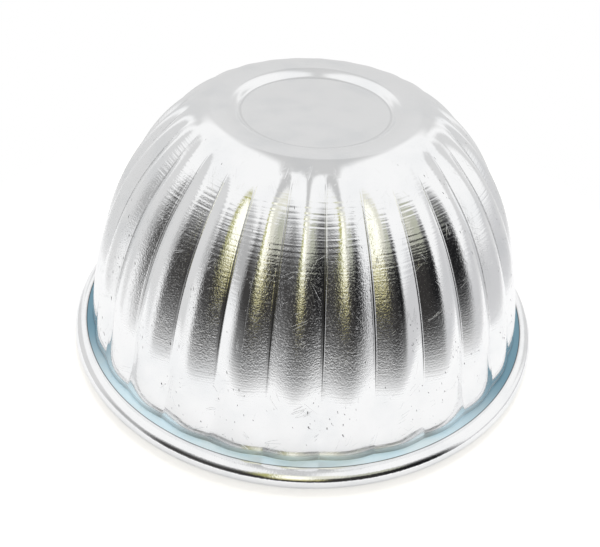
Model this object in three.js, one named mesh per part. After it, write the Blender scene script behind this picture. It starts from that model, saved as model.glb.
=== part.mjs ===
// Fluted jelly mould pressed from one aluminium sheet, its edge rolled around a stiffening wire.
// Millimetres, +Z up. The mould stands on its rim with the crown up, as it is stored and turned out.
// The origin is the centre of the plane that the rim stands on.
import * as THREE from 'three';

// Sheet and stiffening wire
const sheet = 0.6;
const wireDiameter = 1.4;
const wireClearance = 0.35; // between the wire and the sheet rolled around it

// Body
const bodyHeight = 40.5; // standing plane to the crown
const footDiameter = 73.7; // over the crests, where the wall meets its foot
const footDraft = THREE.MathUtils.degToRad(5.5); // lean of the wall at its foot
const crownDiameter = 31.5; // flat crown, up to where the shoulder starts
const shoulderRadius = 7.1;
const shoulderBend = THREE.MathUtils.degToRad(35); // turn of the shoulder before the wall's curve
const footFillet = 0.4;
const flangeWidth = 1.1; // flat ring between the wall's foot and the rolled rim

// Recess pressed into the crown
const crownLand = 2.15; // flat ring left around the recess
const recessDepth = 0.95;
const recessEdgeRadius = 2.4; // round at the top of the recess's sloping edge
const recessFloorRadius = 0.7; // hollow round between that edge and the recess's floor

// Flutes: convex ribs side by side, meeting in sharp creases
const fluteCount = 28;
const fluteDepth = 1.0; // crest above crease, at the foot's diameter
const fluteCrest = 0.4; // how round a crest is between its straighter flanks, as a share of half a flute
const fluteTopGap = 1.5; // along the sheet, from the crown's edge to the flutes' tips
const fluteTipLength = 4.0; // along the sheet, over which a flute's tip rounds up to full width
const fluteRiseLength = 11.0; // along the sheet, from the crown's edge to where the flutes are at full depth
const fluteFootDepth = 0.35; // what is left of the depth where the wall meets its foot
const fluteFootFade = 8.0; // along the sheet, over which the flutes flatten towards the foot

// Facets that stand for the round shapes
const facetsPerFlute = 4;
const recessEdgeFacets = 2; // in each of the recess's two rounds
const shoulderFacets = 3;
const wallFacets = 8;
const footFilletFacets = 2;
const rollFacetsPerTurn = 9; // an odd number, so that one facet lies flat on the standing plane
const rollFacets = 7; // the roll stops short of a full turn, so it stays open
const wireFacets = 8;

// Sizes that follow from the ones above
const up = Math.PI / 2;
const outward = 0;
const footRadius = footDiameter / 2;
const crownRadius = crownDiameter / 2;
const recessRadius = crownRadius - crownLand;
const wireRadius = wireDiameter / 2;
const rollRadius = wireRadius + wireClearance + sheet;
const rollFacetAngle = (2 * Math.PI) / rollFacetsPerTurn;
const footFilletRun = footFillet * Math.cos(footDraft);
const rollCentreRadius = footRadius + footFilletRun + flangeWidth;
const rollCentreHeight = rollRadius * Math.cos(rollFacetAngle / 2);
const flangeTop = rollCentreHeight + rollRadius;
const footHeight = flangeTop + footFillet * (1 - Math.sin(footDraft));

// The wall's curve, over the crests: it leaves the shoulder smoothly and ends at the foot's draft.
const wallTopAngle = up - shoulderBend;
const wallTopRadius = crownRadius + shoulderRadius * Math.cos(wallTopAngle);
const wallTopHeight = bodyHeight - shoulderRadius * (1 - Math.sin(wallTopAngle));
const wallCurve = tangentCurve(
  new THREE.Vector2(wallTopRadius, wallTopHeight), wallTopAngle,
  new THREE.Vector2(footRadius, footHeight), footDraft);
const shoulderLength = shoulderRadius * shoulderBend;
const wallLength = wallCurve.getLength();
const sideLength = shoulderLength + wallLength;

// A smooth curve between two points of the section, square to the given normals at its ends.
function tangentCurve(start, startNormal, end, endNormal) {
  const reach = start.distanceTo(end) / 3;
  const heading = (normal) => new THREE.Vector2(Math.sin(normal), -Math.cos(normal));
  const leave = start.clone().addScaledVector(heading(startNormal), reach);
  const arrive = end.clone().addScaledVector(heading(endNormal), -reach);
  return new THREE.CubicBezierCurve(start, leave, arrive, end);
}

// A station is a point on the sheet's outer skin. Angles are measured in the section,
// from outward (0) to up. A station on the flutes lies on a crest, and sinks to either side of it.
function station(radius, height, normal) {
  return { radius, height, normal, sink: 0, push: normal, tip: 0 };
}

// Stations along an arc. A hollow arc has its centre on the outer side of the sheet.
function arc(centreRadius, centreHeight, radius, from, to, facets, hollow = false) {
  const side = hollow ? -radius : radius;
  const stations = [];
  for (let i = 0; i <= facets; i += 1) {
    const normal = from + ((to - from) * i) / facets;
    const r = centreRadius + side * Math.cos(normal);
    const z = centreHeight + side * Math.sin(normal);
    stations.push(station(r, z, normal));
  }
  return stations;
}

// Marks a station as lying on the flutes, at a length along the sheet from the crown's edge.
// The creases keep one angle all the way up, so a flute's depth falls with its width.
function flute(mark, length, push = mark.normal) {
  const { clamp, lerp, smoothstep } = THREE.MathUtils;
  const tipEnd = fluteTopGap + fluteTipLength;
  const tip = clamp((tipEnd - length) / fluteTipLength, 0, 1);
  const fullDepth = (fluteDepth * Math.min(mark.radius, footRadius)) / footRadius;
  const depth = fullDepth * smoothstep(length, 0, fluteRiseLength);
  const sink = lerp(depth, fluteFootDepth, smoothstep(length, sideLength - fluteFootFade, sideLength));
  return { ...mark, sink, push, tip };
}

function recess() {
  const bothRadii = recessEdgeRadius + recessFloorRadius;
  const slope = Math.acos(1 - recessDepth / bothRadii);
  const floor = bodyHeight - recessDepth;
  const lean = up + slope;
  const floorEdgeRadius = recessRadius - bothRadii * Math.sin(slope);
  const topEdgeHeight = bodyHeight - recessEdgeRadius;
  const floorEdge = arc(
    floorEdgeRadius, floor + recessFloorRadius, recessFloorRadius, up, lean, recessEdgeFacets, true);
  const topEdge = arc(recessRadius, topEdgeHeight, recessEdgeRadius, lean, up, recessEdgeFacets);
  return [station(0, floor, up), ...floorEdge, ...topEdge.slice(1)];
}

function shoulder() {
  const stations = arc(
    crownRadius, bodyHeight - shoulderRadius, shoulderRadius, up, wallTopAngle, shoulderFacets);
  return stations.map((mark) => flute(mark, shoulderRadius * (up - mark.normal)));
}

function wall() {
  const stations = [];
  for (let i = 0; i <= wallFacets; i += 1) {
    const along = i / wallFacets;
    const point = wallCurve.getPointAt(along);
    const heading = wallCurve.getTangentAt(along);
    const mark = station(point.x, point.y, Math.atan2(heading.x, -heading.y));
    stations.push(flute(mark, shoulderLength + wallLength * along));
  }
  return stations;
}

// What is left of the flutes carries on through the foot's fillet, so the flange is slightly scalloped.
function foot() {
  const centreHeight = flangeTop + footFillet;
  const stations = arc(
    footRadius + footFilletRun, centreHeight, footFillet, footDraft, up, footFilletFacets, true);
  return stations.map((mark) => flute(mark, sideLength, outward));
}

function roll() {
  const end = up - rollFacets * rollFacetAngle;
  return arc(rollCentreRadius, rollCentreHeight, rollRadius, up, end, rollFacets);
}

// The whole section: the inner skin from the crown's centre to the roll's end,
// then the outer skin back, one sheet's thickness in front of it.
function sheetSection() {
  const outer = [
    ...recess(),
    ...shoulder(),
    ...wall().slice(1),
    ...foot().slice(1),
    ...roll(),
  ];
  const inner = outer.map((mark) => ({
    ...mark,
    radius: mark.radius - sheet * Math.cos(mark.normal),
    height: mark.height - sheet * Math.sin(mark.normal),
  }));
  return [...inner, ...outer.reverse()];
}

// Depth of the sheet under a flute's crest: a round crest between straighter flanks, closed by a round tip.
function fluteSink(mark, across) {
  const flank = Math.hypot(across, fluteCrest) - fluteCrest;
  const crease = Math.hypot(1, fluteCrest) - fluteCrest;
  return mark.sink * Math.min(1, flank / crease + mark.tip ** 2);
}

function revolve(points, segments) {
  const geometry = new THREE.LatheGeometry(points, segments);
  geometry.rotateX(up);
  return geometry;
}

// The revolved sheet with its flutes pressed into it, a crease on each of the four axes.
function flutedSheet() {
  const section = sheetSection();
  const segments = fluteCount * facetsPerFlute;
  const points = section.map((mark) => new THREE.Vector2(mark.radius, mark.height));
  const geometry = revolve(points, segments);
  const position = geometry.attributes.position;
  for (let i = 0; i <= segments; i += 1) {
    const turn = (2 * Math.PI * (i % segments)) / segments;
    const across = (2 * (i % facetsPerFlute)) / facetsPerFlute - 1;
    section.forEach((mark, j) => {
      const sink = fluteSink(mark, across);
      const radius = mark.radius - sink * Math.cos(mark.push);
      const height = mark.height - sink * Math.sin(mark.push);
      const index = i * section.length + j;
      position.setXYZ(index, radius * Math.sin(turn), -radius * Math.cos(turn), height);
    });
  }
  geometry.computeVertexNormals();
  return geometry;
}

function mouldShell() {
  const aluminium = new THREE.MeshStandardMaterial({ color: 0xdfe1e3, roughness: 0.22, metalness: 1 });
  const mesh = new THREE.Mesh(flutedSheet(), aluminium);
  mesh.name = 'mould_shell';
  return mesh;
}

// A plain ring of wire inside the rolled rim.
function rimWire() {
  const points = [];
  for (let i = 0; i <= wireFacets; i += 1) {
    const turn = (2 * Math.PI * (i % wireFacets)) / wireFacets;
    const radius = rollCentreRadius + wireRadius * Math.cos(turn);
    points.push(new THREE.Vector2(radius, rollCentreHeight + wireRadius * Math.sin(turn)));
  }
  const steel = new THREE.MeshStandardMaterial({ color: 0xb4b7ba, roughness: 0.45, metalness: 1 });
  const mesh = new THREE.Mesh(revolve(points, fluteCount * 2), steel);
  mesh.name = 'rim_wire';
  return mesh;
}

const jellyMould = new THREE.Group();
jellyMould.add(mouldShell(), rimWire());

export default jellyMould;
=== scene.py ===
import math

import bpy
from mathutils import Matrix, Vector


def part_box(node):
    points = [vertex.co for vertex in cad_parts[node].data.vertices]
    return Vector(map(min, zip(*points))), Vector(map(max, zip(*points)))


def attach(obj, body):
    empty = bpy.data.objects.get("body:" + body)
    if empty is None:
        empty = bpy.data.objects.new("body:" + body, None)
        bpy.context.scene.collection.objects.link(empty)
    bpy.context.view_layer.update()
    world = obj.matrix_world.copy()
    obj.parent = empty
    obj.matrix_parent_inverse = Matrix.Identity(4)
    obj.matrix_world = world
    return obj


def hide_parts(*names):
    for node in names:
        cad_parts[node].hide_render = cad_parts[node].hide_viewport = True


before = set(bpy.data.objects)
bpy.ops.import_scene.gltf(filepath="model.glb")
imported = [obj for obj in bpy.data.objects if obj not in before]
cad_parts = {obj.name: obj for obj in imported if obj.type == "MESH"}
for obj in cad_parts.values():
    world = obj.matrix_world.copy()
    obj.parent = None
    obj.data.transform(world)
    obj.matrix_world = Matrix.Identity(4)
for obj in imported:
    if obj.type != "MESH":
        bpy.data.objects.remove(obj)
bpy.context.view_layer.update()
mm = 0.001
print("stage: frame loaded")


# small helpers for node trees
def putNode(tree, kind, inputs=None, **settings):
    made = tree.nodes.new(kind)
    for name, value in settings.items():
        setattr(made, name, value)
    for key, value in (inputs or {}).items():
        if isinstance(value, bpy.types.NodeSocket):
            tree.links.new(value, made.inputs[key])
        else:
            made.inputs[key].default_value = value
    return made


def putGroup(tree, group, inputs):
    return putNode(tree, "ShaderNodeGroup", inputs, node_tree=group).outputs[0]


def calc(tree, operation, *values):
    return putNode(tree, "ShaderNodeMath", dict(enumerate(values)), operation=operation).outputs[0]


def product(tree, first, *others):
    for value in others:
        first = calc(tree, "MULTIPLY", first, value)
    return first


def highest(tree, first, *others):
    for value in others:
        first = calc(tree, "MAXIMUM", first, value)
    return first


def oneMinus(tree, value):
    return calc(tree, "SUBTRACT", 1.0, value)


def distance(tree, value, other):
    return calc(tree, "ABSOLUTE", calc(tree, "SUBTRACT", value, other))


def hypot(tree, aside, ahead):
    return calc(tree, "SQRT", calc(tree, "ADD", product(tree, aside, aside), product(tree, ahead, ahead)))


def remap(tree, value, low, high, newLow=0.0, newHigh=1.0):
    spread = {"Value": value, "From Min": low, "From Max": high, "To Min": newLow, "To Max": newHigh}
    return putNode(tree, "ShaderNodeMapRange", spread, interpolation_type="SMOOTHSTEP").outputs[0]


def noise(tree, place, scale, detail):
    spot = {"Vector": place, "Scale": scale, "Detail": detail}
    return putNode(tree, "ShaderNodeTexNoise", spot).outputs[0]


def mixColor(tree, share, first, second):
    return putNode(tree, "ShaderNodeMix", {0: share, 6: first, 7: second}, data_type="RGBA").outputs[2]


def newMaterial(name):
    made = bpy.data.materials.new(name)
    made.use_nodes = True
    made.node_tree.nodes.clear()
    return made, made.node_tree


def finishMetal(tree, color, rough, height):
    bump = putNode(tree, "ShaderNodeBump", {"Strength": 1.0, "Distance": 1.0, "Height": height}).outputs[0]
    shader = putNode(tree, "ShaderNodeBsdfPrincipled", {
        "Base Color": color, "Metallic": 1.0, "Roughness": rough, "Normal": bump})
    putNode(tree, "ShaderNodeOutputMaterial", {"Surface": shader.outputs[0]})


def newGroup(name, kind, inputs, outputs):
    tree = bpy.data.node_groups.new(name, kind)
    for label, socket, value in inputs:
        made = tree.interface.new_socket(label, in_out="INPUT", socket_type=socket)
        if value is not None:
            made.default_value = value
    for label, socket in outputs:
        tree.interface.new_socket(label, in_out="OUTPUT", socket_type=socket)
    return tree, tree.nodes.new("NodeGroupInput"), tree.nodes.new("NodeGroupOutput")


# camera: placed as in the photo, turned a little so that the creases fall as they do there
shot = {
    "lens": 47.664,
    "sensor": 36.0,
    "turn": -0.0956,        # round the mould, from straight in front
    "distance": 109.12 * mm,
    "height": 94.51 * mm,
    "yaw": -0.00943,
    "pitch": 0.66964,
    "roll": 0.05484,
    "nearest": 5 * mm,
    "farthest": 20.0,
}


def makeCamera():
    yaw, pitch, roll = shot["yaw"], shot["pitch"], shot["roll"]
    look = Vector((math.sin(yaw) * math.cos(pitch), math.cos(yaw) * math.cos(pitch), -math.sin(pitch)))
    right = Vector((math.cos(yaw), -math.sin(yaw), 0.0))
    above = right.cross(look)
    tiltedRight = math.cos(roll) * right + math.sin(roll) * above
    tiltedAbove = math.cos(roll) * above - math.sin(roll) * right
    turned = Matrix((tiltedRight, tiltedAbove, -look)).transposed().to_4x4()
    stand = Matrix.Translation((0.0, -shot["distance"], shot["height"]))
    data = bpy.data.cameras.new("photoCamera")
    data.lens = shot["lens"]
    data.sensor_width = shot["sensor"]
    data.sensor_fit = "HORIZONTAL"
    data.clip_start = shot["nearest"]
    data.clip_end = shot["farthest"]
    camera = bpy.data.objects.new("photoCamera", data)
    camera.matrix_world = Matrix.Rotation(shot["turn"], 4, "Z") @ stand @ turned
    bpy.context.scene.collection.objects.link(camera)
    bpy.context.scene.camera = camera


makeCamera()
print("stage: camera placed")

# pressed sheet: its section in metres, drawn from the crown's centre to the end of the rolled rim
_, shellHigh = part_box("mould_shell")
pressing = {
    "height": shellHigh.z,
    "rimRadius": shellHigh.x,
    "sheet": 0.6 * mm,
    "flangeTop": 3.2 * mm,
    "flangeDrop": 0.07 * mm,      # the rolled bead stands this much above the flange
    "beadFillet": 0.03 * mm,
    "footRadius": 36.85 * mm,     # over the crests
    "footDraft": math.radians(5.5),
    "footFillet": 0.15 * mm,
    "crownRadius": 15.75 * mm,
    "shoulderRadius": 7.1 * mm,
    "shoulderBend": math.radians(35),
    "crownLand": 2.15 * mm,
    "recessDepth": 0.95 * mm,
    "recessEdge": 2.4 * mm,
    "recessFloor": 0.7 * mm,      # hollow round at the recess's floor
    "rollSweep": math.radians(285),
    "fluteCount": 28,
    "fluteDepth": 1.15 * mm,
    "fluteCrest": 0.5,            # how round a crest is between its straighter flanks
    "fluteTopGap": 1.5 * mm,
    "fluteTip": 4.0 * mm,
    "fluteRise": 11.5 * mm,       # along the sheet, to where the flutes are at full depth
    "fluteFootDepth": 0.35 * mm,
    "fluteFootFade": 8.0 * mm,
    "tipSoftness": 0.16,
    "creaseRound": 0.045,         # as a share of half a flute's width
    "cutEdgeAngle": math.radians(40),
    "columnsPerFlute": 20,
    "uvRadius": 36.0 * mm,        # the sheet's UV map runs round at this radius
    "mergeDistance": 0.001 * mm,
}
# rows of faces in each zone of the two skins
outerSteps = {
    "floor": 3, "recess": 7, "land": 2, "shoulder": 14, "wall": 44,
    "foot": 6, "flange": 3, "bead": 3, "roll": 28,
}
innerSteps = {
    "floor": 1, "recess": 3, "land": 1, "shoulder": 7, "wall": 20,
    "foot": 4, "flange": 2, "bead": 1, "roll": 14,
}
# where the finish changes, along the sheet from the crown's edge; the foot's counts back from the wall's end
finishZones = {
    "wall": (0.5 * mm, 4.0 * mm),
    "upperStart": (3.5 * mm, 9.0 * mm),
    "upperEnd": (24 * mm, 12 * mm),
    "wornStart": (7.0 * mm, 21 * mm),
    "wornEnd": (36 * mm, 28 * mm),
    "foot": (-3.2 * mm, -1.4 * mm),
}
sheetAttributes = ("along", "inside", "wall", "upper", "worn", "foot", "flange", "crown", "roll")


def arcMarks(centre, radius, start, end, steps, hollow=False):
    side = -radius if hollow else radius
    angles = [start + (end - start) * i / steps for i in range(steps + 1)]
    return [(centre[0] + side * math.cos(a), centre[1] + side * math.sin(a), a) for a in angles]


def lineMarks(start, end, normal, steps):
    spans = [i / steps for i in range(steps + 1)]
    return [(start[0] + (end[0] - start[0]) * t, start[1] + (end[1] - start[1]) * t, normal) for t in spans]


def curveMarks(start, startNormal, end, endNormal, steps):
    # a smooth curve that leaves and arrives square to the given normals
    reach = math.dist(start, end) / 3
    leave = (start[0] + reach * math.sin(startNormal), start[1] - reach * math.cos(startNormal))
    arrive = (end[0] - reach * math.sin(endNormal), end[1] + reach * math.cos(endNormal))
    corners = (start, leave, arrive, end)
    marks = []
    for t in (i / steps for i in range(steps + 1)):
        s = 1 - t
        weights = (s ** 3, 3 * s * s * t, 3 * s * t * t, t ** 3)
        slopes = (-s * s, s * s - 2 * s * t, 2 * s * t - t * t, t * t)
        radius, height = (sum(w * c[axis] for w, c in zip(weights, corners)) for axis in (0, 1))
        outward, fall = (sum(w * c[axis] for w, c in zip(slopes, corners)) for axis in (0, 1))
        marks.append((radius, height, math.atan2(outward, -fall)))
    return marks


def recessSlope():
    # lean of the recess's edge where its two rounds meet, and the radius of the floor inside them
    p = pressing
    bothRounds = p["recessEdge"] + p["recessFloor"]
    slope = math.acos(1 - p["recessDepth"] / bothRounds)
    return slope, p["crownRadius"] - p["crownLand"] - bothRounds * math.sin(slope)


def skinMarks(steps):
    # one skin of the sheet as (radius, height, normal, zone) rows; normals run from outward 0 to up
    p, up = pressing, math.pi / 2
    top, edge, hollow = p["height"], p["recessEdge"], p["recessFloor"]
    fillet, draft, bead = p["footFillet"], p["footDraft"], p["beadFillet"]
    slope, floorRadius = recessSlope()
    recessRadius = p["crownRadius"] - p["crownLand"]
    floor = top - p["recessDepth"]
    flange = p["flangeTop"] - p["flangeDrop"]
    wallTop = up - p["shoulderBend"]
    shoulderCentre = (p["crownRadius"], top - p["shoulderRadius"])
    wallStart = (shoulderCentre[0] + p["shoulderRadius"] * math.cos(wallTop),
                 shoulderCentre[1] + p["shoulderRadius"] * math.sin(wallTop))
    footCentre = (p["footRadius"] + fillet * math.cos(draft), flange + fillet)
    wallEnd = (p["footRadius"], footCentre[1] - fillet * math.sin(draft))
    rollRadius = p["flangeTop"] / 2
    rollCentre = (p["rimRadius"] - rollRadius, rollRadius)
    rollEnd = up - p["rollSweep"]
    lean = math.acos((rollRadius - p["flangeDrop"] + bead) / (rollRadius + bead))
    beadStart = rollCentre[0] - (rollRadius + bead) * math.sin(lean)
    pieces = [
        ("floor", lineMarks((0, floor), (floorRadius, floor), up, steps["floor"])),
        ("recess", arcMarks((floorRadius, floor + hollow), hollow, up, up + slope, steps["recess"], True)),
        ("recess", arcMarks((recessRadius, top - edge), edge, up + slope, up, steps["recess"])),
        ("land", lineMarks((recessRadius, top), (p["crownRadius"], top), up, steps["land"])),
        ("shoulder", arcMarks(shoulderCentre, p["shoulderRadius"], up, wallTop, steps["shoulder"])),
        ("wall", curveMarks(wallStart, wallTop, wallEnd, draft, steps["wall"])),
        ("foot", arcMarks(footCentre, fillet, draft, up, steps["foot"], True)),
        ("flange", lineMarks((footCentre[0], flange), (beadStart, flange), up, steps["flange"])),
        ("bead", arcMarks((beadStart, flange + bead), bead, up, up + lean, steps["bead"], True)),
        ("roll", arcMarks(rollCentre, rollRadius, up + lean, rollEnd, steps["roll"])),
    ]
    marks = []
    for zone, rows in pieces:
        marks += [(*row, zone) for row in rows[1 if marks else 0:]]
    return marks


def easeStep(value, low, high):
    t = min(max((value - low) / (high - low), 0.0), 1.0)
    return t * t * (3 - 2 * t)


def fluteRise(radius, length, sideLength):
    # depth of the flutes as a share of the full depth: they keep one angle, and flatten towards the foot
    p = pressing
    full = min(radius / p["footRadius"], 1.0) * easeStep(length, 0.0, p["fluteRise"])
    left = p["fluteFootDepth"] / p["fluteDepth"]
    return full + (left - full) * easeStep(length, sideLength - p["fluteFootFade"], sideLength)


def runLengths(marks):
    # length along the sheet at each mark, and where each zone ends
    lengths = [0.0]
    for last, mark in zip(marks, marks[1:]):
        lengths.append(lengths[-1] + math.dist(last[:2], mark[:2]))
    return lengths, {mark[3]: length for length, mark in zip(lengths, marks)}


def skinRows(steps, depth):
    # what each row of one skin needs for its flutes and its finish
    p, zones = pressing, finishZones
    marks = skinMarks(steps)
    lengths, ends = runLengths(marks)
    sideLength = ends["wall"] - ends["land"]
    rows = []
    for length, (radius, height, normal, zone) in zip(lengths, marks):
        side = length - ends["land"]
        fluted = 1.0 if zone in ("shoulder", "wall", "foot") else 0.0
        rows.append({
            "radius": max(radius - depth * math.cos(normal), 0.0),
            "height": height - depth * math.sin(normal),
            "rise": fluted * fluteRise(radius, min(side, sideLength), sideLength),
            "tip": max((p["fluteTopGap"] + p["fluteTip"] - side) / p["fluteTip"], 0.0),
            "push": 0.0 if zone == "foot" else normal,
            "along": length,
            "inside": 1.0 if depth else 0.0,
            "wall": fluted * easeStep(side, *zones["wall"]),
            "upper": fluted * easeStep(side, *zones["upperStart"]) * easeStep(side, *zones["upperEnd"]),
            "worn": fluted * easeStep(side, *zones["wornStart"]) * easeStep(side, *zones["wornEnd"]),
            "foot": fluted * easeStep(side - sideLength, *zones["foot"]),
            "flange": 1.0 if zone in ("foot", "flange") else 0.0,
            "crown": 1.0 if zone in ("floor", "recess", "land") else 0.0,
            "roll": 1.0 if zone == "roll" else 0.0,
        })
    return rows


def makeSectionMesh():
    rows = skinRows(outerSteps, 0.0) + skinRows(innerSteps, pressing["sheet"])[::-1]
    mesh = bpy.data.meshes.new("pressedSection")
    edges = [(i, i + 1) for i in range(len(rows) - 1)]
    mesh.from_pydata([(row["radius"], 0.0, row["height"]) for row in rows], edges, [])
    for name in ("rise", "tip", "push", *sheetAttributes):
        mesh.attributes.new(name, "FLOAT", "POINT").data.foreach_set("value", [row[name] for row in rows])
    return mesh


def buildFlutePress():
    # Geometry Nodes: revolves a section and presses convex flutes into it
    tree, given, result = newGroup("flutePress", "GeometryNodeTree", [
        ("Section", "NodeSocketGeometry", None),
        ("Flute Count", "NodeSocketInt", 28),
        ("Columns per Flute", "NodeSocketInt", 20),
        ("Flute Depth", "NodeSocketFloat", 1.15 * mm),
        ("Crest Round", "NodeSocketFloat", 0.5),
        ("Tip Softness", "NodeSocketFloat", 0.16),
        ("Crease Round", "NodeSocketFloat", 0.045),
        ("Cut Edge Angle", "NodeSocketFloat", 0.7),
        ("UV Radius", "NodeSocketFloat", 36.0 * mm),
        ("Merge Distance", "NodeSocketFloat", 0.001 * mm),
        ("Finish", "NodeSocketMaterial", None),
    ], [("Mould", "NodeSocketGeometry")])
    tree.is_modifier = True
    section = given.outputs["Section"]
    fluteCount, perFlute = given.outputs["Flute Count"], given.outputs["Columns per Flute"]
    rows = putNode(tree, "GeometryNodeAttributeDomainSize", {"Geometry": section}).outputs["Point Count"]
    turns = product(tree, fluteCount, perFlute)
    grid = putNode(tree, "GeometryNodeMeshGrid", {
        "Vertices X": calc(tree, "ADD", turns, 1.0), "Vertices Y": rows}).outputs["Mesh"]
    index = putNode(tree, "GeometryNodeInputIndex").outputs[0]
    column = calc(tree, "FLOOR", calc(tree, "DIVIDE", calc(tree, "ADD", index, 0.5), rows))
    row = calc(tree, "SUBTRACT", index, product(tree, column, rows))

    def sample(field, kind):
        return putNode(tree, "GeometryNodeSampleIndex", {
            "Geometry": section, "Value": field, "Index": row}, data_type=kind).outputs[0]

    def fromSection(name):
        named = putNode(tree, "GeometryNodeInputNamedAttribute", {"Name": name}, data_type="FLOAT")
        return sample(named.outputs[0], "FLOAT")

    def store(mesh, name, value, kind, domain):
        return putNode(tree, "GeometryNodeStoreNamedAttribute", {
            "Geometry": mesh, "Name": name, "Value": value}, data_type=kind, domain=domain).outputs[0]

    place = sample(putNode(tree, "GeometryNodeInputPosition").outputs[0], "FLOAT_VECTOR")
    point = putNode(tree, "ShaderNodeSeparateXYZ", {0: place})

    # columns stand closer together near the creases
    flute = calc(tree, "DIVIDE", column, perFlute)
    share = calc(tree, "FRACT", flute)
    across = calc(tree, "SINE", calc(tree, "MULTIPLY_ADD", share, math.pi, -math.pi / 2))
    middle = calc(tree, "ADD", calc(tree, "FLOOR", flute), 0.5)
    turned = calc(tree, "DIVIDE", calc(tree, "MULTIPLY_ADD", across, 0.5, middle), fluteCount)
    turn = calc(tree, "MULTIPLY_ADD", turned, 2 * math.pi, math.pi)

    # how far each point sinks below its crest, with round creases and soft tips
    fromCrease = oneMinus(tree, calc(tree, "ABSOLUTE", across))
    away = oneMinus(tree, hypot(tree, fromCrease, given.outputs["Crease Round"]))
    crest = given.outputs["Crest Round"]
    flank = calc(tree, "SUBTRACT", hypot(tree, away, crest), crest)
    crease = calc(tree, "SUBTRACT", hypot(tree, crest, 1.0), crest)
    tip = fromSection("tip")
    swell = oneMinus(tree, calc(tree, "DIVIDE", flank, crease))
    swell = calc(tree, "SUBTRACT", swell, product(tree, tip, tip))
    soft = product(tree, calc(tree, "MINIMUM", tip, 1.0), given.outputs["Tip Softness"])
    bulge = product(tree, calc(tree, "ADD", swell, hypot(tree, swell, soft)), 0.5)
    depth = product(tree, given.outputs["Flute Depth"], fromSection("rise"))
    sink = product(tree, calc(tree, "SUBTRACT", bulge, 1.0), depth)

    push = fromSection("push")
    radius = calc(tree, "MULTIPLY_ADD", sink, calc(tree, "COSINE", push), point.outputs[0])
    height = calc(tree, "MULTIPLY_ADD", sink, calc(tree, "SINE", push), point.outputs[2])
    east = product(tree, radius, calc(tree, "SINE", turn))
    north = product(tree, radius, calc(tree, "COSINE", turn), -1.0)
    moved = putNode(tree, "ShaderNodeCombineXYZ", {0: east, 1: north, 2: height}).outputs[0]
    mesh = putNode(tree, "GeometryNodeSetPosition", {"Geometry": grid, "Position": moved}).outputs[0]

    for name in sheetAttributes:
        mesh = store(mesh, name, fromSection(name), "FLOAT", "POINT")
    around = product(tree, turn, given.outputs["UV Radius"])
    sheetPlace = putNode(tree, "ShaderNodeCombineXYZ", {0: around, 1: fromSection("along")}).outputs[0]
    sheetPlace = putNode(tree, "GeometryNodeFieldOnDomain", {"Value": sheetPlace},
                         data_type="FLOAT_VECTOR", domain="POINT").outputs[0]
    mesh = store(mesh, "sheetUv", sheetPlace, "FLOAT2", "CORNER")
    mesh = putNode(tree, "GeometryNodeMergeByDistance", {
        "Geometry": mesh, "Distance": given.outputs["Merge Distance"]}).outputs[0]
    mesh = putNode(tree, "GeometryNodeSetShadeSmooth", {"Geometry": mesh, "Shade Smooth": True}).outputs[0]
    bend = putNode(tree, "GeometryNodeInputMeshEdgeAngle").outputs["Unsigned Angle"]
    sharp = calc(tree, "GREATER_THAN", bend, given.outputs["Cut Edge Angle"])
    mesh = putNode(tree, "GeometryNodeSetShadeSmooth", {
        "Geometry": mesh, "Selection": sharp, "Shade Smooth": False}, domain="EDGE").outputs[0]
    mesh = putNode(tree, "GeometryNodeRealizeInstances", {"Geometry": mesh}).outputs[0]
    mesh = putNode(tree, "GeometryNodeSetMaterial", {
        "Geometry": mesh, "Material": given.outputs["Finish"]}).outputs[0]
    tree.links.new(mesh, result.inputs["Mould"])
    return tree


def bakeTree(name, mesh, tree, inputs):
    # runs a tree on a mesh and keeps the result as a plain mesh object
    source = bpy.data.objects.new(name + "Source", mesh)
    bpy.context.scene.collection.objects.link(source)
    modifier = source.modifiers.new("nodes", "NODES")
    modifier.node_group = tree
    sockets = {item.name: item.identifier for item in tree.interface.items_tree if item.in_out == "INPUT"}
    for label, value in inputs.items():
        modifier[sockets[label]] = value
    graph = bpy.context.evaluated_depsgraph_get()
    plain = bpy.data.meshes.new_from_object(source.evaluated_get(graph))
    bpy.data.objects.remove(source)
    plain.name = name
    made = bpy.data.objects.new(name, plain)
    bpy.context.scene.collection.objects.link(made)
    return made


# finish groups: lines, scratches and specks for the sheet; the wire has the specks as well
markTuning = {
    "lineBreakStep": 0.45,            # how fast the breaks change from ring to ring
    "lineSwayScale": 70.0,
    "lineKeep": (0.38, 0.62, 0.15, 1.0),
    "scratchSpread": 8.0,             # reach of the noise across a scratch, in its widths
    "scratchLine": 0.009,
    "scratchPatchScale": 260.0,
    "scratchLimit": (-0.3, 0.72),     # patches needed, falling with the amount
    "scratchPatchEdge": 0.06,
    "speckRaggedScale": 2600.0,
    "speckRaggedShift": 0.5 * mm,
    "speckPatchScale": 150.0,
    "speckPatches": (0.40, 0.64),
    "speckLeastSize": 0.35,
    "speckEdge": 0.6,                 # share of a speck's radius that is fully dark
}


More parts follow.
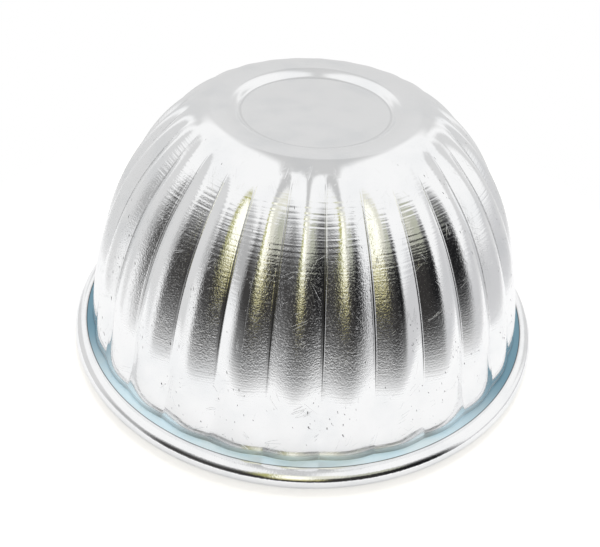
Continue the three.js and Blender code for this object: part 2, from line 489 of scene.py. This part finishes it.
def buildTurningLines():
    # fine rings left by turning and polishing, a little wavy and broken round the mould
    tree, given, result = newGroup("turningLines", "ShaderNodeTree", [
        ("Place", "NodeSocketVector", None),
        ("Along", "NodeSocketFloat", 0.0),
        ("Pitch", "NodeSocketFloat", 0.75 * mm),
        ("Waves", "NodeSocketFloat", 0.5),
        ("Breaks", "NodeSocketFloat", 3.0),
    ], [("Height", "NodeSocketFloat")])
    tuning = markTuning
    place = given.outputs["Place"]
    flat = putNode(tree, "ShaderNodeVectorMath", {0: place, 1: (1.0, 1.0, 0.0)}, operation="MULTIPLY")
    ring = putNode(tree, "ShaderNodeVectorMath", {0: flat.outputs[0]}, operation="NORMALIZE")
    around = putNode(tree, "ShaderNodeVectorMath", {
        0: ring.outputs[0], "Scale": given.outputs["Breaks"]}, operation="SCALE")
    split = putNode(tree, "ShaderNodeSeparateXYZ", {0: around.outputs[0]})
    step = calc(tree, "DIVIDE", given.outputs["Along"], given.outputs["Pitch"])
    spot = putNode(tree, "ShaderNodeCombineXYZ", {
        0: split.outputs[0], 1: split.outputs[1], 2: product(tree, step, tuning["lineBreakStep"])})
    broken = noise(tree, spot.outputs[0], 1.0, 1.0)
    sway = noise(tree, place, tuning["lineSwayScale"], 1.0)
    phase = calc(tree, "MULTIPLY_ADD", sway, given.outputs["Waves"], step)
    line = calc(tree, "SINE", product(tree, phase, 2 * math.pi))
    height = product(tree, line, remap(tree, broken, *tuning["lineKeep"]))
    tree.links.new(height, result.inputs["Height"])
    return tree


def buildScratches():
    # thin scratches in one direction, kept only in patches
    tree, given, result = newGroup("scratchMarks", "ShaderNodeTree", [
        ("Sheet", "NodeSocketVector", None),
        ("Length", "NodeSocketFloat", 6 * mm),
        ("Width", "NodeSocketFloat", 0.12 * mm),
        ("Turn", "NodeSocketFloat", 0.5),
        ("Amount", "NodeSocketFloat", 0.5),
    ], [("Mark", "NodeSocketFloat")])
    tuning = markTuning
    turned = putNode(tree, "ShaderNodeVectorRotate", {
        "Vector": given.outputs["Sheet"], "Angle": given.outputs["Turn"]}, rotation_type="Z_AXIS").outputs[0]
    split = putNode(tree, "ShaderNodeSeparateXYZ", {0: turned})
    spread = product(tree, given.outputs["Width"], tuning["scratchSpread"])
    spot = putNode(tree, "ShaderNodeCombineXYZ", {
        0: calc(tree, "DIVIDE", split.outputs[0], given.outputs["Length"]),
        1: calc(tree, "DIVIDE", split.outputs[1], spread),
        2: given.outputs["Turn"]})
    field = noise(tree, spot.outputs[0], 1.0, 1.0)
    line = remap(tree, distance(tree, field, 0.5), 0.0, tuning["scratchLine"], 1.0, 0.0)
    patches = noise(tree, turned, tuning["scratchPatchScale"], 1.0)
    limit = calc(tree, "MULTIPLY_ADD", given.outputs["Amount"], *tuning["scratchLimit"])
    keep = remap(tree, patches, limit, calc(tree, "ADD", limit, tuning["scratchPatchEdge"]))
    tree.links.new(product(tree, line, keep), result.inputs["Mark"])
    return tree


def buildSpecks():
    # small ragged specks, gathered in patches
    tree, given, result = newGroup("darkSpecks", "ShaderNodeTree", [
        ("Place", "NodeSocketVector", None),
        ("Spacing", "NodeSocketFloat", 0.9 * mm),
        ("Size", "NodeSocketFloat", 0.10),
        ("Amount", "NodeSocketFloat", 0.3),
    ], [("Mark", "NodeSocketFloat")])
    tuning = markTuning
    place = given.outputs["Place"]
    ragged = putNode(tree, "ShaderNodeTexNoise", {
        "Vector": place, "Scale": tuning["speckRaggedScale"], "Detail": 2.0}).outputs["Color"]
    shift = putNode(tree, "ShaderNodeVectorMath", {0: ragged, 1: (0.5, 0.5, 0.5)}, operation="SUBTRACT")
    shift = putNode(tree, "ShaderNodeVectorMath", {
        0: shift.outputs[0], "Scale": tuning["speckRaggedShift"]}, operation="SCALE")
    spot = putNode(tree, "ShaderNodeVectorMath", {0: place, 1: shift.outputs[0]}, operation="ADD")
    cells = putNode(tree, "ShaderNodeTexVoronoi", {
        "Vector": spot.outputs[0], "Scale": calc(tree, "DIVIDE", 1.0, given.outputs["Spacing"])})
    pick = putNode(tree, "ShaderNodeSeparateColor", {0: cells.outputs["Color"]})
    patches = noise(tree, place, tuning["speckPatchScale"], 1.0)
    amount = product(tree, given.outputs["Amount"], remap(tree, patches, *tuning["speckPatches"]))
    chosen = calc(tree, "LESS_THAN", pick.outputs[0], amount)
    bigger = calc(tree, "ADD", pick.outputs[1], tuning["speckLeastSize"])
    reach = calc(tree, "DIVIDE", cells.outputs["Distance"], product(tree, given.outputs["Size"], bigger))
    mark = product(tree, remap(tree, reach, tuning["speckEdge"], 1.0, 1.0, 0.0), chosen)
    tree.links.new(mark, result.inputs["Mark"])
    return tree


turningLines = buildTurningLines()
scratchMarks = buildScratches()
darkSpecks = buildSpecks()

aluminiumLook = {
    "bright": (0.925, 0.928, 0.932, 1.0),
    "cloud": (0.87, 0.88, 0.89, 1.0),
    # painted reflection on the flange and the wall's foot: pale blue in front, dark blue at the sides
    "flangeFrontReflection": (0.76, 0.93, 1.0, 1.0),
    "flangePaleReflection": (0.80, 0.92, 0.95, 1.0),
    "flangeSidesReflection": (0.19, 0.33, 0.41, 1.0),
    "speck": (0.26, 0.26, 0.265, 1.0),
    "inside": (0.80, 0.81, 0.825, 1.0),
    # painted shade where the recess's floor meets its edge
    "cornerShade": (0.81, 0.815, 0.82, 1.0),
    # painted shade for the creases and for the bead's edge
    "creaseShade": (0.035, 0.034, 0.033, 1.0),
    "cloudScale": 180.0,
    "cloudColor": (0.4, 0.75),            # clouding over which the colour changes
    "cloudTint": (0.42, 0.62),
    "cloudRough": (0.3, 0.75),
    "polish": (0.056, 0.098),             # roughness of the bright metal
    "grainRoughness": 0.22,
    "scratchRoughness": 0.12,
    "speckRoughness": 0.3,
    "crownRoughness": 0.20,
    "footRoughness": 0.18,
    "footEdgeRoughness": 0.50,
    "flangeRoughness": 0.28,
    "insideRoughness": 0.30,
    "linePitch": 0.75 * mm,
    "lineDepth": 0.0062 * mm,
    "lineShare": (0.86, 0.14),            # on the upper wall, and everywhere on the wall
    "finePitch": 0.40 * mm,
    "fineDepth": 0.0028 * mm,
    "fineWaves": 0.9,
    "fineBreaks": 6.0,
    "fineShare": (0.7, 0.3),
    "grainScale": 4200.0,
    "grainDepth": 0.0016 * mm,
    "grainShare": (0.25, 0.03),           # on the rolled rim, and everywhere
    "grainSpan": (0.46, 0.66),
    "scratchDepth": 0.008 * mm,
    "speckDepth": 0.02 * mm,
    "speckSpacing": 0.8 * mm,
    "speckSize": 0.165,
    "speckTurn": -0.35,
    "speckStretch": (0.55, 1.7, 1.0),
    "speckSpan": (12 * mm, 30 * mm),      # down the side, over which specks become frequent
    "speckAmount": (0.10, 0.85),
    "creaseWidth": 0.17 * mm,
    "creaseDepth": 0.10 * mm,
    "grooveStrip": (0.0, 0.0, 1.0),       # strips by a crease: centre, full and gone, in crease widths
    "smoothStrip": (-1.0, 0.8, 2.0),
    # painted shade on a crease's left flank, and how it fades away from the middle
    "creaseShadeStrip": (-0.4, 0.3, 0.75),
    "creaseShadeSides": (14 * mm, 25 * mm, 1.0, 0.25),
    "cornerShadeWidth": 0.32 * mm,
    "footReflectionReach": 1.0 * mm,
    "footReflectionShare": 0.4,
    "sidesTurn": 0.2,                     # turns the darker painted reflection on the flange to the right
    "sidesSpan": (-32 * mm, -14 * mm),
    # painted shade line where the bead rises from the flange
    "beadShadeLine": (0.03 * mm, 0.11 * mm, 0.8, 0.0),
}
scratchRuns = ((1.35, 9 * mm, 0.42), (0.45, 7 * mm, 0.36), (2.3, 8 * mm, 0.36))    # turn, length, amount
# wear that dulls the wall: spans to the right, down the side and off a crease, some with two shares
wornLook = {
    "depth": 0.034 * mm,
    "right": (4 * mm, 15 * mm, 1.0, 0.55),
    "left": (-20 * mm, -7 * mm, 0.9, 0.0),
    "leftStart": (5 * mm, 14 * mm),
    "leftEnd": (28 * mm, 36 * mm),
    "outerLeft": (-16 * mm, -8 * mm, 1.0, 0.0),
    "outerRight": (8 * mm, 16 * mm),
    "cleanStart": (0.05 * mm, 0.35 * mm),
    "cleanEnd": (1.5 * mm, 2.4 * mm, 1.0, 0.0),
    "cleanShare": 0.75,
    "roll": 0.3,
    "wall": 0.06,
}


def makeAluminium():
    look, wear = aluminiumLook, wornLook
    ends = runLengths(skinMarks(outerSteps))[1]
    material, tree = newMaterial("brightAluminium")

    def attribute(name):
        return putNode(tree, "ShaderNodeAttribute", attribute_name=name).outputs["Fac"]

    def downSide(low, high, first=0.0, last=1.0):
        # changes along the sheet, at lengths from the crown's edge
        return remap(tree, along, ends["land"] + low, ends["land"] + high, first, last)

    def blend(share, base, shares):
        return product(tree, base, calc(tree, "MULTIPLY_ADD", share, *shares))

    place = putNode(tree, "ShaderNodeTexCoord").outputs["Object"]
    east, north, _ = putNode(tree, "ShaderNodeSeparateXYZ", {0: place}).outputs
    sheet = putNode(tree, "ShaderNodeAttribute", attribute_name="sheetUv").outputs["Vector"]
    along, inside, wall, upper, worn, foot, flange, crown, roll = map(attribute, sheetAttributes)
    grain = noise(tree, place, look["grainScale"], 2.0)
    cloud = noise(tree, place, look["cloudScale"], 3.0)

    # marks of making and of use
    lines = putGroup(tree, turningLines, {"Place": place, "Along": along, "Pitch": look["linePitch"]})
    fine = putGroup(tree, turningLines, {
        "Place": place, "Along": along, "Pitch": look["finePitch"],
        "Waves": look["fineWaves"], "Breaks": look["fineBreaks"]})
    runs = [putGroup(tree, scratchMarks, {"Sheet": sheet, "Turn": turn, "Length": length, "Amount": amount})
            for turn, length, amount in scratchRuns]
    scratch = product(tree, highest(tree, *runs), wall)
    streaky = putNode(tree, "ShaderNodeMapping", {
        "Vector": sheet, "Rotation": (0.0, 0.0, look["speckTurn"]), "Scale": look["speckStretch"],
    }, vector_type="TEXTURE").outputs[0]
    specks = putGroup(tree, darkSpecks, {
        "Place": streaky, "Spacing": look["speckSpacing"], "Size": look["speckSize"],
        "Amount": downSide(*look["speckSpan"], *look["speckAmount"])})
    specks = product(tree, specks, wall, oneMinus(tree, foot))

    # distance from the nearest crease, positive to its right
    around = putNode(tree, "ShaderNodeSeparateXYZ", {0: sheet}).outputs[0]
    flute = product(tree, around, pressing["fluteCount"] / (2 * math.pi * pressing["uvRadius"]))
    offCrease = calc(tree, "SUBTRACT", calc(tree, "FRACT", calc(tree, "ADD", flute, 0.5)), 0.5)
    fluteWidth = product(tree, hypot(tree, east, north), 2 * math.pi / pressing["fluteCount"])
    offCrease = product(tree, offCrease, fluteWidth)

    def strip(name):
        centre, full, gone = (share * look["creaseWidth"] for share in look[name])
        return remap(tree, distance(tree, offCrease, centre), full, gone, 1.0, 0.0)

    # fine groove along each crease with smooth metal beside it, and painted shade on the crease's left
    # flank, strongest towards the middle
    fluted = product(tree, highest(tree, upper, worn), oneMinus(tree, inside))
    groove = product(tree, strip("grooveStrip"), fluted)
    smooth = product(tree, strip("smoothStrip"), fluted)
    fromMiddle = calc(tree, "ABSOLUTE", east)
    creaseShade = product(tree, strip("creaseShadeStrip"), remap(tree, fromMiddle, *look["creaseShadeSides"]), worn)

    color = mixColor(tree, remap(tree, cloud, *look["cloudColor"]), look["bright"], look["cloud"])
    # painted reflection: the flange and the wall's foot are coloured blue, darker towards the sides as a
    # reflection of the dark room
    flangeReflection = mixColor(tree, remap(tree, cloud, *look["cloudTint"]), look["flangeFrontReflection"], look["flangePaleReflection"])
    towardsBack = calc(tree, "MULTIPLY_ADD", east, look["sidesTurn"], north)
    flangeReflection = mixColor(tree, remap(tree, towardsBack, *look["sidesSpan"]), flangeReflection, look["flangeSidesReflection"])
    footStart, footFull = (ends["wall"] - share * look["footReflectionReach"] for share in (1.0, 0.5))
    nearFoot = product(tree, remap(tree, along, footStart, footFull), wall)
    reflectionShare = highest(tree, flange, product(tree, nearFoot, look["footReflectionShare"]))
    color = mixColor(tree, reflectionShare, color, flangeReflection)
    # painted shade: a thin dark line along the start of the bead
    beadShadeLine = remap(tree, distance(tree, along, ends["bead"]), *look["beadShadeLine"])
    color = mixColor(tree, beadShadeLine, color, look["creaseShade"])
    # painted shade: a thin darker ring round the recess's floor, where it meets the rounded edge
    fromCorner = distance(tree, along, recessSlope()[1])
    cornerShade = product(tree, remap(tree, fromCorner, 0.0, look["cornerShadeWidth"], 1.0, 0.0), crown)
    # mixes in the painted shade of the recess corner and of the creases, then the inside's colour and the
    # specks
    for mask, shade in ((cornerShade, "cornerShade"), (creaseShade, "creaseShade"), (inside, "inside"), (specks, "speck")):
        color = mixColor(tree, mask, color, look[shade])

    # wear: less on the right, higher up on the left, little on the outer flank of each side crease
    wornShare = product(tree, worn, remap(tree, east, *wear["right"]))
    leftSpan = product(tree, downSide(*wear["leftStart"]), downSide(*wear["leftEnd"], 1.0, 0.0))
    leftWear = product(tree, remap(tree, east, *wear["left"]), leftSpan, wall)
    wornShare = highest(tree, wornShare, leftWear)
    onLeft, onRight = (remap(tree, east, *wear[side]) for side in ("outerLeft", "outerRight"))
    outer = product(tree, offCrease, calc(tree, "SUBTRACT", onLeft, onRight))
    clean = product(tree, remap(tree, outer, *wear["cleanStart"]), remap(tree, outer, *wear["cleanEnd"]))
    wornShare = blend(clean, wornShare, (-wear["cleanShare"], 1.0))
    wornShare = product(tree, wornShare, oneMinus(tree, smooth))
    wornShare = calc(tree, "MULTIPLY_ADD", roll, wear["roll"], wornShare)
    wornShare = calc(tree, "MULTIPLY_ADD", wall, wear["wall"], wornShare)

    rough = remap(tree, cloud, *look["cloudRough"], *look["polish"])
    speckle = product(tree, remap(tree, grain, *look["grainSpan"]), wornShare)
    rough = calc(tree, "MULTIPLY_ADD", speckle, look["grainRoughness"], rough)
    zones = {"crown": crown, "foot": foot, "flange": flange, "footEdge": nearFoot, "inside": inside}
    for name, mask in zones.items():
        rough = highest(tree, rough, product(tree, mask, look[name + "Roughness"]))
    for name, mask in (("scratch", scratch), ("speck", specks)):
        rough = calc(tree, "MULTIPLY_ADD", mask, look[name + "Roughness"], rough)

    rimGrain = calc(tree, "MULTIPLY_ADD", roll, *look["grainShare"])
    height = 0.0
    for mark, depth in (
        (product(tree, lines, blend(upper, wall, look["lineShare"])), look["lineDepth"]),
        (product(tree, fine, blend(upper, wall, look["fineShare"])), look["fineDepth"]),
        (product(tree, grain, highest(tree, wall, rimGrain)), look["grainDepth"]),
        (product(tree, grain, wornShare), wear["depth"]),
        (scratch, -look["scratchDepth"]),
        (groove, -look["creaseDepth"]),
        (specks, -look["speckDepth"]),
    ):
        height = calc(tree, "MULTIPLY_ADD", mark, depth, height)
    finishMetal(tree, color, rough, height)
    return material


def makeShell():
    made = bakeTree("pressedShell", makeSectionMesh(), buildFlutePress(), {
        "Flute Count": pressing["fluteCount"],
        "Columns per Flute": pressing["columnsPerFlute"],
        "Flute Depth": pressing["fluteDepth"],
        "Crest Round": pressing["fluteCrest"],
        "Tip Softness": pressing["tipSoftness"],
        "Crease Round": pressing["creaseRound"],
        "Cut Edge Angle": pressing["cutEdgeAngle"],
        "UV Radius": pressing["uvRadius"],
        "Merge Distance": pressing["mergeDistance"],
        "Finish": makeAluminium(),
    })
    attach(made, "root")
    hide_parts("mould_shell")
    return made


shell = makeShell()
print("stage: pressed shell", len(shell.data.polygons), "faces")

# stiffening wire inside the rolled rim
wireLow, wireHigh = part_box("rim_wire")
rimWire = {
    "radius": (wireHigh.z - wireLow.z) / 2,
    "ringRadius": wireHigh.x - (wireHigh.z - wireLow.z) / 2,
    "height": (wireHigh.z + wireLow.z) / 2,
    "turns": 224,
    "sides": 16,
    "zinc": (0.55, 0.56, 0.58, 1.0),
    "dull": (0.38, 0.39, 0.41, 1.0),
    "spangleScale": 1400.0,
    "spangleColor": (0.1, 0.7),
    "spangleRough": (0.0, 0.8, 0.32, 0.5),
    "speckSpacing": 0.9 * mm,
    "speckDepth": 0.01 * mm,
}


def buildWireRing():
    # Geometry Nodes: sweeps a round wire along a ring
    tree, given, result = newGroup("wireRing", "GeometryNodeTree", [
        ("Geometry", "NodeSocketGeometry", None),
        ("Ring Radius", "NodeSocketFloat", 38 * mm),
        ("Wire Radius", "NodeSocketFloat", 0.7 * mm),
        ("Height", "NodeSocketFloat", 1.5 * mm),
        ("Turns", "NodeSocketInt", 224),
        ("Sides", "NodeSocketInt", 16),
        ("Finish", "NodeSocketMaterial", None),
    ], [("Wire", "NodeSocketGeometry")])
    tree.is_modifier = True
    ring = putNode(tree, "GeometryNodeCurvePrimitiveCircle", {
        "Resolution": given.outputs["Turns"], "Radius": given.outputs["Ring Radius"]}).outputs[0]
    lift = putNode(tree, "ShaderNodeCombineXYZ", {2: given.outputs["Height"]}).outputs[0]
    ring = putNode(tree, "GeometryNodeSetPosition", {"Geometry": ring, "Offset": lift}).outputs[0]
    section = putNode(tree, "GeometryNodeCurvePrimitiveCircle", {
        "Resolution": given.outputs["Sides"], "Radius": given.outputs["Wire Radius"]}).outputs[0]
    mesh = putNode(tree, "GeometryNodeCurveToMesh", {"Curve": ring, "Profile Curve": section}).outputs[0]
    mesh = putNode(tree, "GeometryNodeSetShadeSmooth", {"Geometry": mesh, "Shade Smooth": True}).outputs[0]
    mesh = putNode(tree, "GeometryNodeRealizeInstances", {"Geometry": mesh}).outputs[0]
    mesh = putNode(tree, "GeometryNodeSetMaterial", {
        "Geometry": mesh, "Material": given.outputs["Finish"]}).outputs[0]
    tree.links.new(mesh, result.inputs["Wire"])
    return tree


def makeGalvanised():
    material, tree = newMaterial("galvanisedWire")
    place = putNode(tree, "ShaderNodeTexCoord").outputs["Object"]
    spangle = putNode(tree, "ShaderNodeTexVoronoi", {
        "Vector": place, "Scale": rimWire["spangleScale"]}).outputs["Distance"]
    specks = putGroup(tree, darkSpecks, {"Place": place, "Spacing": rimWire["speckSpacing"]})
    color = mixColor(tree, remap(tree, spangle, *rimWire["spangleColor"]), rimWire["zinc"], rimWire["dull"])
    rough = remap(tree, spangle, *rimWire["spangleRough"])
    finishMetal(tree, color, rough, product(tree, specks, -rimWire["speckDepth"]))
    return material


def makeWire():
    made = bakeTree("stiffeningWire", bpy.data.meshes.new("wireSeed"), buildWireRing(), {
        "Ring Radius": rimWire["ringRadius"],
        "Wire Radius": rimWire["radius"],
        "Height": rimWire["height"],
        "Turns": rimWire["turns"],
        "Sides": rimWire["sides"],
        "Finish": makeGalvanised(),
    })
    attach(made, "root")
    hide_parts("rim_wire")


makeWire()
print("stage: rim wire")

# white table, white room, and a surround that only the metal's reflections see
studio = {
    "tableRadius": 76 * mm,
    "tableFade": 0.86,            # share of the radius where the table starts to fade into the room
    "tableColor": (0.93, 0.905, 0.85, 1.0),
    "mirroredTable": (0.90, 0.90, 0.90, 1.0),
    "tableGlow": 0.38,            # lifts the open table to the white of the room
    "mirroredGlow": 0.16,
    "surroundRadius": 0.8,
    "white": (1.0, 1.0, 1.0, 1.0),
    "skyLight": 0.72,
    "lampPower": 1.1,
    "lampSize": 0.30,
    "lampPlace": (0.06, 0.22, 0.55),
}
# soft areas of the surround: azimuth from the camera's side towards +X, elevation, half sizes,
# softness aside and above, colour; all angles in degrees
surroundAreas = {
    "greyWall": (-164, 6, 78, 27, 6, 3, (0.73, 0.73, 0.73)),
    "stripLeft": (-138, 22, 5, 26, 4, 10, (1.0, 1.0, 1.0)),
    "stripRight": (146, 22, 5, 26, 4, 10, (1.0, 1.0, 1.0)),
    "lowRight": (92, -7, 30, 13, 12, 7, (0.64, 0.64, 0.65)),
    "sideLeft": (-74, 16, 14, 13, 8, 8, (0.46, 0.46, 0.46)),
    "dimRoom": (1, 13.4, 62, 28.2, 9, 9, (0.24, 0.24, 0.24)),
    "darkLeft": (-39, 13.6, 23, 14.2, 9, 11, (0.050, 0.048, 0.047)),
    "darkRight": (43, 13.7, 24, 18.1, 8, 11, (0.012, 0.012, 0.013)),
    "darkMiddle": (6, 13.2, 32, 16.7, 10, 11, (0.036, 0.034, 0.033)),
    "shadeRight": (36, 38, 11, 8, 5, 5, (0.50, 0.51, 0.42)),
    "lampGlow": (1, 24, 10, 10, 5, 6, (0.68, 0.63, 0.31)),
    "lampFringe": (-9, 41, 8, 15, 4, 9, (0.46, 0.45, 0.16)),
    "lampPale": (11, 45, 13, 14, 6, 7, (0.80, 0.79, 0.68)),
    "lampCore": (0, 40, 8, 15, 3.5, 8, (1.25, 1.24, 1.10)),
}
# seen straight overhead: places to the right and to the back in hundredths of the surround's radius,
# then as above
overheadAreas = {
    "beamFront": (0, -24, 9, 30, 5, 8, (0.60, 0.60, 0.60)),
    "beamBack": (0, 42, 15, 40, 6, 8, (0.64, 0.64, 0.64)),
}


def buildSoftArea():
    tree, given, result = newGroup("softArea", "ShaderNodeTree", [
        ("Aside", "NodeSocketFloat", 0.0),
        ("Above", "NodeSocketFloat", 0.0),
        ("Centre Aside", "NodeSocketFloat", 0.0),
        ("Centre Above", "NodeSocketFloat", 0.0),
        ("Half Width", "NodeSocketFloat", 30.0),
        ("Half Height", "NodeSocketFloat", 20.0),
        ("Soft Aside", "NodeSocketFloat", 5.0),
        ("Soft Above", "NodeSocketFloat", 5.0),
    ], [("Mask", "NodeSocketFloat")])
    aside = calc(tree, "SUBTRACT", given.outputs["Aside"], given.outputs["Centre Aside"])
    aside = calc(tree, "WRAP", aside, 180.0, -180.0)
    above = calc(tree, "SUBTRACT", given.outputs["Above"], given.outputs["Centre Above"])
    masks = []
    for off, half, soft in ((aside, "Half Width", "Soft Aside"), (above, "Half Height", "Soft Above")):
        full = calc(tree, "SUBTRACT", given.outputs[half], given.outputs[soft])
        gone = calc(tree, "ADD", given.outputs[half], given.outputs[soft])
        masks.append(remap(tree, calc(tree, "ABSOLUTE", off), full, gone, 1.0, 0.0))
    tree.links.new(product(tree, *masks), result.inputs["Mask"])
    return tree


def makeSurround():
    softArea = buildSoftArea()
    material, tree = newMaterial("studioSurround")
    place = putNode(tree, "ShaderNodeTexCoord").outputs["Object"]
    east, north, up = putNode(tree, "ShaderNodeSeparateXYZ", {0: place}).outputs
    azimuth = calc(tree, "DEGREES", calc(tree, "ARCTAN2", east, product(tree, north, -1.0)))
    elevation = calc(tree, "DEGREES", calc(tree, "ARCTAN2", up, hypot(tree, east, north)))
    percent = 100 / studio["surroundRadius"]
    planRight, planBack = product(tree, east, percent), product(tree, north, percent)
    color = studio["white"]
    for aside, above, areas in ((planRight, planBack, overheadAreas), (azimuth, elevation, surroundAreas)):
        for centre, rise, width, tall, softAside, softAbove, shade in areas.values():
            mask = putGroup(tree, softArea, {
                "Aside": aside, "Above": above, "Centre Aside": centre, "Centre Above": rise,
                "Half Width": width, "Half Height": tall,
                "Soft Aside": softAside, "Soft Above": softAbove})
            color = mixColor(tree, mask, color, (*shade, 1.0))
    glow = putNode(tree, "ShaderNodeEmission", {"Color": color, "Strength": 1.0})
    putNode(tree, "ShaderNodeOutputMaterial", {"Surface": glow.outputs[0]})

    bpy.ops.mesh.primitive_uv_sphere_add(segments=64, ring_count=32, radius=studio["surroundRadius"])
    dome = bpy.context.object
    dome.name = "studioSurround"
    dome.rotation_euler.z = shot["turn"]
    dome.data.materials.append(material)
    dome.visible_camera = False
    dome.visible_diffuse = False
    dome.visible_shadow = False
    dome.visible_transmission = False


def makeTable():
    material, tree = newMaterial("whiteTable")
    path = putNode(tree, "ShaderNodeLightPath").outputs
    place = putNode(tree, "ShaderNodeTexCoord").outputs["Object"]
    reach = putNode(tree, "ShaderNodeVectorMath", {0: place}, operation="LENGTH").outputs["Value"]
    fade = remap(tree, reach, studio["tableFade"] * studio["tableRadius"], studio["tableRadius"])
    mirrored = calc(tree, "ADD", path["Is Glossy Ray"], path["Is Transmission Ray"])
    shade = mixColor(tree, mirrored, studio["tableColor"], studio["mirroredTable"])
    paper = putNode(tree, "ShaderNodeBsdfDiffuse", {"Color": shade})
    mirroredGlow = product(tree, mirrored, studio["mirroredGlow"])
    glow = calc(tree, "MULTIPLY_ADD", path["Is Camera Ray"], studio["tableGlow"], mirroredGlow)
    lift = putNode(tree, "ShaderNodeEmission", {"Strength": glow})
    both = putNode(tree, "ShaderNodeAddShader", {0: paper.outputs[0], 1: lift.outputs[0]})
    clear = putNode(tree, "ShaderNodeBsdfTransparent")
    mixed = putNode(tree, "ShaderNodeMixShader", {0: fade, 1: both.outputs[0], 2: clear.outputs[0]})
    putNode(tree, "ShaderNodeOutputMaterial", {"Surface": mixed.outputs[0]})
    bpy.ops.mesh.primitive_circle_add(vertices=128, radius=studio["tableRadius"], fill_type="NGON")
    table = bpy.context.object
    table.name = "whiteTable"
    table.data.materials.append(material)


def makeRoom():
    # seen straight or in a mirror the room is white; the table gets less of it and the rest from the lamp
    world = bpy.data.worlds.new("whiteRoom")
    bpy.context.scene.world = world
    world.use_nodes = True
    tree = world.node_tree
    back = tree.nodes["Background"]
    path = putNode(tree, "ShaderNodeLightPath").outputs
    mirrored = calc(tree, "ADD", path["Is Glossy Ray"], path["Is Transmission Ray"])
    seen = highest(tree, path["Is Camera Ray"], mirrored)
    strength = calc(tree, "MULTIPLY_ADD", seen, 1.0 - studio["skyLight"], studio["skyLight"])
    tree.links.new(strength, back.inputs["Strength"])
    back.inputs["Color"].default_value = studio["white"]


def makeLamp():
    data = bpy.data.lights.new("softLamp", "AREA")
    data.shape = "DISK"
    data.size = studio["lampSize"]
    data.energy = studio["lampPower"]
    lamp = bpy.data.objects.new("softLamp", data)
    lamp.location = studio["lampPlace"]
    lamp.rotation_euler = Vector(studio["lampPlace"]).to_track_quat("Z", "Y").to_euler()
    lamp.visible_glossy = False
    bpy.context.scene.collection.objects.link(lamp)


makeSurround()
makeTable()
makeRoom()
makeLamp()
bpy.context.scene.view_settings.view_transform = "Standard"
print("stage: studio")
